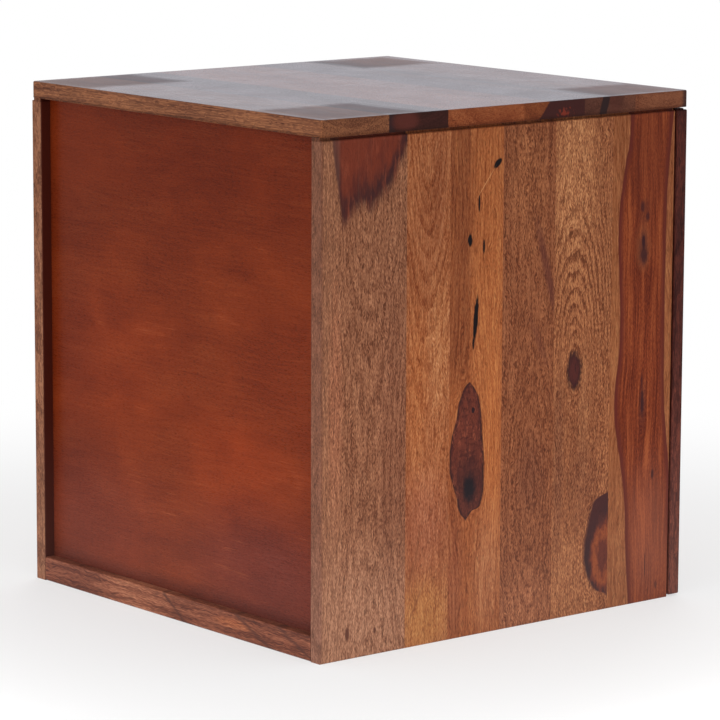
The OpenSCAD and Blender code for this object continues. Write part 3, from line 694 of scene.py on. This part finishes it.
END_GRAIN = 0.3
# Share of painted shade that darkens the top's face against the stronger light from above
FACE_SHADE = 0.68
top_low, top_high = read_span("top_stave_1")
TOP_FACE = top_high[2]
top_specs = [
    dict(tones=[(84, 46, 30), (124, 76, 52), (160, 104, 70)], pith=(190, TOP_FACE + 60, 0), taper=0.05,
         drawn=7.0, fleck=0.6),
    dict(tones=[(34, 12, 10), (48, 21, 19), (70, 32, 28)], pith=(120, TOP_FACE + 50, 0)),
    dict(tones=[(108, 46, 22), (152, 78, 43), (180, 110, 68)], pith=(20, TOP_FACE + 30, 0)),
    dict(tones=[(100, 43, 20), (140, 73, 40), (168, 102, 61)], pith=(-60, TOP_FACE + 40, 0)),
    dict(tones=[(56, 29, 22), (84, 47, 37), (110, 69, 54)], pith=(-125, TOP_FACE - 60, 0)),
    dict(tones=[(90, 44, 27), (128, 74, 50), (158, 100, 70)], pith=(-200, TOP_FACE + 90, 0), fleck=0.6),
]
dull_places = [(169, -177, 58, 50), (170, 180, 60, 47), (-166, 176, 48, 43), (-176, -186, 50, 40)]


def top_wood(number, polished):
    """The finish of one stave of the top: a polished one for its face, darkened by painted shade, and a
    plainer one for its edges.
    """
    wood = Rosewood(f"sheesham_top_{number}" + "_face" * polished, "yxz", 20.0 + number, figure=0.7,
                    growth=0.05, mottle=0.5, **top_specs[number - 1])
    if number == 2:
        wood.lay_colour(wood.times(wood.fade(wood.across, 140, 146), 0.7), paint(38, 28, 34))
        middle = wood.plus(wood.squared(wood.less(wood.across, 130), 16),
                           wood.squared(wood.less(wood.deep, 496), 9))
        wood.lay_colour(wood.times(wood.fade(middle, 1.6, 0.2), 0.6), paint(104, 48, 40))
    if number == 4:
        slant = wood.plus(wood.across, wood.times(wood.less(wood.deep, 495), 0.81), wood.wobble(1, 12))
        dark_part = wood.fade(slant, -40.5, -42.5)
        wood.lay_colour(dark_part, paint(60, 27, 27))
        middle = wood.plus(wood.squared(wood.plus(wood.across, 68), 11),
                           wood.squared(wood.less(wood.deep, 491.5), 5),
                           wood.times(wood.noise(wood.scaled(4, 4, 4)), 7.0))
        wood.lay_colour(wood.times(wood.fade(middle, 0.9, -0.8), dark_part, 0.62), paint(156, 58, 38))
    if number == 5:
        streak = wood.plus(wood.across, wood.times(wood.less(wood.deep, 495), 0.31), 118.5)
        wood.tint(wood.fade(wood.across, -138, -150), (112, 66, 49))
        wood.lay_colour(wood.fade(wood.math("ABSOLUTE", streak), 5.6, 3.8), paint(36, 26, 29))
        wood.lay_colour(wood.times(wood.fade(wood.across, -124, -126), wood.fade(wood.across, -146, -132), 0.5),
                   paint(92, 48, 38))
    if number == 6:
        corner = wood.times(wood.fade(wood.across, -219, -224.5), wood.fade(wood.along, -214, -222))
        wood.lay_colour(wood.times(corner, 0.85), paint(46, 32, 34))
    if not polished:
        # Painted shade on the lower edge and underside of the top, over the shadow line
        wood.painted_shadow_line(top_low[2] + 4, top_low[2] + 0.5)
        ends = wood.fade(wood.math("ABSOLUTE", wood.along), HALF_WIDTH - 1.2, HALF_WIDTH - 0.2)
        wood.lay_colour(wood.times(ends, END_GRAIN), paint(54, 28, 18))
        return wood.lacquered()
    dull = 0.0
    for across, along, half_across, half_along in dull_places:
        beside = wood.less(half_across, wood.math("ABSOLUTE", wood.less(wood.across, across)))
        before = wood.less(half_along, wood.math("ABSOLUTE", wood.less(wood.along, along)))
        inside = wood.plus(wood.math("MINIMUM", beside, before), wood.wobble(12, 60))
        dull = wood.math("MAXIMUM", dull, wood.fade(inside, -9, 14))
    # Painted shade: the face is darkened against the light that falls on it from above
    wood.lay_colour(FACE_SHADE, paint(44, 24, 20))
    worn = wood.times(wood.noise(wood.scaled(45, 45, 45), 3.0), 0.12)
    rough = wood.plus(0.27, worn, wood.times(dull, 0.2), wood.times(wood.fibre, 0.2))
    wood.shader.inputs["Specular IOR Level"].default_value = 0.62
    return wood.surface(wood.colour, rough, wood.fibre, 0.0001)


for number in range(1, 7):
    node = f"top_stave_{number}"
    low, high = read_span(node)
    shape = block(low, high)
    glued = {1: [low[1]], 6: [high[1]]}.get(number, [low[1], high[1]])
    if number == 1:
        ease(shape, 3.0, "-x+y", "+x+y")
    if number == 6:
        ease(shape, 3.0, "-x-y", "+x-y")
    for z, radius in ((low[2], 0.5), (high[2], 1.4)):
        rim = [e for e in joined(shape, z, 2)
               if not any(e in joined(shape, z, 2, (1, joint)) for joint in glued)]
        round_over(shape, rim, radius)
    if number == 1:
        from_low = (back_low[0], back_low[1] - GROOVE_PLAY, 0)
        to_high = (back_high[0], back_high[1] + GROOVE_PLAY, 0)
        sink(shape, 2, -1, from_low, to_high, GROOVE_DEPTH)
    shape.normal_update()
    for face in shape.faces:
        face.material_index = int(face.normal.z > 0.8)
    woods = [top_wood(number, False), top_wood(number, True)]
    piece("board_" + node, shape, "cabinet", "sheesham_top", woods, node)


# Screws and strike plate
# Zinc-plated steel. Countersunk screws hold the cleats, boards, battens, catch and strike plate, and one with
# a round flat head holds the knob.


def brushed_metal(name, across, along, dark, light, roughness):
    """Metal with fine lines that run up and down."""
    metal = Finish(name)
    x, y, z = [metal.times(metal.axes[a], size) for a, size in zip("xyz", (across, across, along))]
    brushed = metal.noise(metal.vector(x, y, z), 3.0)
    metal.shader.inputs["Metallic"].default_value = 1.0
    colour = metal.ramp(metal.plus(0.5, brushed), (0.2, paint(*dark)), (0.8, paint(*light)))
    return metal.surface(colour, metal.plus(roughness, metal.times(brushed, 0.3)), brushed, 0.00003)


give(brushed_metal("zinc_plate", 3.0, 0.8, (150, 148, 140), (196, 194, 186), 0.34), "cleat_screws",
     "board_screws", "batten_screws", "knob_screw", "catch_screws", "strike_screw", "strike_plate")


# Door
# Five upright rosewood staves cover the whole front of the cabinet. Two battens are screwed across the
# inside, so the door stays flat. Its free edge is a stave of dark heartwood.

DOOR_EASED = 1.6
reveal_z = top_low[2] - REVEAL_H


def door_board(low, high, free):
    """A stave of the door with the shadow line's rebate at its front, and at its free side if it has one."""
    start, end = (high[0], low[0] + REVEAL_D) if free < 0 else (low[0], high[0] - REVEAL_D * (free > 0))
    corners = [(low[1], low[2]), (high[1], low[2]), (high[1], high[2]), (low[1] + REVEAL_D, high[2]),
               (low[1] + REVEAL_D, reveal_z), (low[1], reveal_z)]
    shape = bmesh.new()
    face = shape.faces.new([shape.verts.new((start, y, z)) for y, z in corners])
    extrude(shape, [face], (end - start, 0, 0))
    if free:
        split(shape, 2, reveal_z)
        below = [f for f in shape.faces if f.calc_center_median()[2] < reveal_z
                 and all(abs(v.co[0] - end) < NEAR for v in f.verts)]
        extrude(shape, below, (free * REVEAL_D, 0, 0))
        bmesh.ops.delete(shape, geom=below, context="FACES_ONLY")
        side = low[0] if free < 0 else high[0]
        corner_edges = joined(shape, side, 0, (1, low[1])) + joined(shape, side, 0, (1, high[1]))
        lips = joined(shape, side, 0, (2, reveal_z)) + joined(shape, side, 0, (2, low[2]))
    else:
        corner_edges, lips = [], []
    lips += joined(shape, low[1], 1, (2, reveal_z)) + joined(shape, low[1], 1, (2, low[2]))
    lips += joined(shape, high[1], 1, (2, high[2])) + joined(shape, high[1], 1, (2, low[2]))
    round_over(shape, list(set(corner_edges + lips)), DOOR_EASED)
    bmesh.ops.dissolve_degenerate(shape, dist=MERGE, edges=shape.edges)
    return shape


door_staves = [(MAROON, 20, 420, 0.5), (RED_TAN, -30, 90, 0.9), (BROWN, 6, 330, 0.9),
               (ORANGE_TAN, 50, 200, 0.9), (GREY_BROWN, -12, 60, 0.9)]
for number, (tones, shift, eye, fleck) in enumerate(door_staves, 1):
    node = f"door_stave_{number}"
    low, high = read_span(node)
    middle = (low[0] + high[0]) / 2
    wood = Rosewood("sheesham_" + node, "xzy", 80.0 + number, tones, pith=(middle + shift, -206, 0),
                    eyes=[(eye, 110)], growth=0.2, fleck=fleck)
    if number == 1:
        wood.tint(wood.times(wood.fade(wood.along, 330, 60), 0.8), (92, 48, 40))
    if number == 3:
        wood.mark((60, 32, 32), 1, middle + 6, 330, 9, 22, edge=0.4)
    if number == 2:
        edge = wood.plus(wood.across, wood.times(wood.stretched(300, 130, 7.0), 34), -middle)
        wood.tint(wood.fade(edge, 4, 6), (112, 52, 32))
    # Painted shade on the door's rebate and lip under the top's overhang
    wood.painted_shadow_line(reveal_z - LIP_START, reveal_z - LIP_FULL)
    free = {1: -1, len(door_staves): 1}.get(number, 0)
    piece("board_" + node, door_board(low, high, free), "door", "sheesham_door", wood.lacquered(), node)

for node in ("door_batten_lower", "door_batten_upper"):
    wood = Rosewood("sheesham_" + node, "zxy", 88.0 + len(node), RED_HEART, pith=(0, -150, 0), taper=0.05)
    shape = block(*read_span(node))
    ease(shape, 3.0, "+y+z", "+y-z", "-x+y", "+x+y")
    piece("board_" + node, shape, "door", "sheesham_frame", wood.lacquered(), node)


# Hinges
# Two folded butt hinges of brushed brass, screwed to the edge of the right panel and the back of the door.

give(brushed_metal("brushed_brass", 4.0, 0.25, (150, 112, 58), (206, 168, 98), 0.3), "cabinet_leaf_lower",
     "cabinet_leaf_upper", "door_leaf_lower", "door_leaf_upper", "hinge_pins", "cabinet_hinge_screws",
     "door_hinge_screws")


# Knob
# Turned rosewood, held from inside the door by one screw.

wood = Rosewood("sheesham_knob", "xzy", 95.0, MAROON, pith=(-160, -240, 0), figure=0.9)
low, high = read_span("knob")
knob_middle = [(a + b) / 2 for a, b in zip(low, high)]
door_face = high[1]
reach = high[1] - low[1]
half = (high[0] - low[0]) / 2
outline = [(0.0, 0.0), (0.57, 0.0), (0.57, 0.06), (0.5, 0.13), (0.44, 0.3), (0.46, 0.42), (0.6, 0.5),
           (0.88, 0.57), (0.99, 0.66), (0.98, 0.76), (0.8, 0.89), (0.45, 0.975), (0.0, 1.0)]
shape = bmesh.new()
line = [shape.verts.new((knob_middle[0] + r * half, door_face - out * reach, knob_middle[2]))
        for r, out in outline]
edges = [shape.edges.new(pair) for pair in zip(line, line[1:])]
bmesh.ops.spin(shape, geom=line + edges, cent=(knob_middle[0], 0, knob_middle[2]), axis=(0, 1, 0),
               angle=math.tau, steps=32, use_merge=True)
bmesh.ops.remove_doubles(shape, verts=shape.verts, dist=MERGE)
knob = piece("turned_knob", shape, "door", "sheesham_door", wood.lacquered(0.32, 0.4), "knob")
rounded = knob.modifiers.new("Rounded", "SUBSURF")
rounded.levels = rounded.render_levels = 2


# Catch
# A magnetic catch under the top rail meets the strike plate on the door. Two bumpers keep the door's free
# edge off the side panel.


def plain_finish(name, dark, light, roughness):
    """An even tone with a fine grain."""
    plain = Finish(name)
    grain = plain.noise(plain.place, 3.0)
    colour = plain.ramp(plain.plus(0.5, grain), (0.3, paint(*dark)), (0.7, paint(*light)))
    return plain.surface(colour, roughness, grain)


plastic = Finish("brown_plastic")
grain = plastic.noise(plastic.axes["x"], 2.0)
colour = plastic.ramp(plastic.plus(0.5, grain), (0.3, paint(92, 60, 42)), (0.7, paint(104, 70, 50)))
give(plastic.surface(colour, 0.5, plastic.noise(plastic.place, 2.0)), "catch_housing")
give(plain_finish("ferrite_magnet", (50, 48, 48), (72, 70, 70), 0.6), "catch_magnet")
give(plain_finish("soft_rubber", (34, 30, 28), (48, 42, 40), 0.7), "door_bumpers")


# Studio
# A plain pale floor and soft lamps. The camera stands at the photograph's viewing angle.

floor_shape = bmesh.new()
bmesh.ops.create_circle(floor_shape, cap_ends=True, segments=64, radius=16.0)
floor_mesh = bpy.data.meshes.new("floor")
floor_shape.to_mesh(floor_mesh)
floor_shape.free()
floor = bpy.data.objects.new("floor", floor_mesh)
bpy.context.scene.collection.objects.link(floor)

paper = Finish("white_paper")
far = paper.fade(paper.math("SQRT", paper.plus(paper.times(paper.axes["x"], paper.axes["x"]),
                                               paper.times(paper.axes["y"], paper.axes["y"]))), 500, 1100)
paper.surface(paint(245, 245, 245), 0.9)
glow = paper.node("Emission", 0, Color=(1, 1, 1, 1), Strength=1.0)
rays = paper.tree.nodes.new("ShaderNodeLightPath")
seen = paper.math("MAXIMUM", rays.outputs["Is Camera Ray"], rays.outputs["Is Glossy Ray"])
seen = paper.math("MAXIMUM", seen, rays.outputs["Is Transmission Ray"])
white = paper.times(paper.plus(0.55, paper.times(far, 0.45)), seen)
mixed = paper.node("MixShader", 0, _0=white, _1=paper.shader.outputs[0], _2=glow)
paper.tree.links.new(mixed, paper.tree.nodes["Material Output"].inputs["Surface"])
floor_mesh.materials.append(paper.material)

world = bpy.data.worlds.new("studio")
bpy.context.scene.world = world
world.use_nodes = True
tree = world.node_tree
background = tree.nodes["Background"]
rays = tree.nodes.new("ShaderNodeLightPath")
polished = tree.nodes.new("ShaderNodeMath")
polished.operation = "MAXIMUM"
tree.links.new(rays.outputs["Is Glossy Ray"], polished.inputs[0])
tree.links.new(rays.outputs["Is Transmission Ray"], polished.inputs[1])
seen = tree.nodes.new("ShaderNodeMath")
seen.operation = "MAXIMUM"
tree.links.new(rays.outputs["Is Camera Ray"], seen.inputs[0])
tree.links.new(polished.outputs[0], seen.inputs[1])
strength = tree.nodes.new("ShaderNodeMapRange")
strength.inputs["To Min"].default_value = 0.5
tree.links.new(seen.outputs[0], strength.inputs["Value"])
tree.links.new(strength.outputs[0], background.inputs["Strength"])
sky = tree.nodes.new("ShaderNodeMix")
sky.data_type = "RGBA"
tree.links.new(polished.outputs[0], sky.inputs["Factor"])
for socket, colour in ((6, (1, 1, 1, 1)), (7, (0.92, 0.92, 1.0, 1))):
    sky.inputs[socket].default_value = colour
tree.links.new(sky.outputs[2], background.inputs["Color"])

for name, place, aim, width, height, power in [
    ("overhead", (-0.4, 0.3, 2.6), (0, 0, 0.3), 2.4, 2.4, 14),
    ("beside_camera", (-3.2, 1.0, 1.2), (0, 0, 0.25), 2.0, 2.0, 12),
    ("behind_cabinet", (-0.4, 3.2, 1.2), (0, 0, 0.25), 2.0, 2.0, 11),
    ("front_fill", (2.2, -2.4, 1.4), (0, 0, 0.25), 2.0, 2.0, 40),
    ("low_strip_beside", (-0.68, 0.0, 0.09), (0, 0, 0.09), 1.3, 0.12, 1.6),
    ("low_strip_behind", (0.0, 0.68, 0.09), (0, 0, 0.09), 1.3, 0.12, 1.6),
]:
    lamp = bpy.data.lights.new(name, "AREA")
    lamp.shape = "RECTANGLE"
    lamp.size = width
    lamp.size_y = height
    lamp.energy = power
    lamp_object = bpy.data.objects.new(name, lamp)
    lamp_object.visible_glossy = False
    lamp_object.visible_camera = False
    lamp_object.location = place
    lamp_object.rotation_euler = (Vector(aim) - Vector(place)).to_track_quat("-Z", "Y").to_euler()
    bpy.context.scene.collection.objects.link(lamp_object)

camera_place = (-2.9007, 2.3765, 0.8719)
heading = math.radians(-39.384)
down = math.radians(9.717)
roll = math.radians(0.234)
camera_data = bpy.data.cameras.new("camera")
camera_data.sensor_width = 36.0
camera_data.lens = 191.679
camera = bpy.data.objects.new("camera", camera_data)
turn = Euler((math.pi / 2 - down, 0, heading - math.pi / 2)).to_matrix() @ Matrix.Rotation(roll, 3, "Z")
camera.matrix_world = Matrix.LocRotScale(camera_place, turn.to_quaternion(), None)
bpy.context.scene.collection.objects.link(camera)
bpy.context.scene.camera = camera
bpy.context.scene.view_settings.view_transform = "Standard"
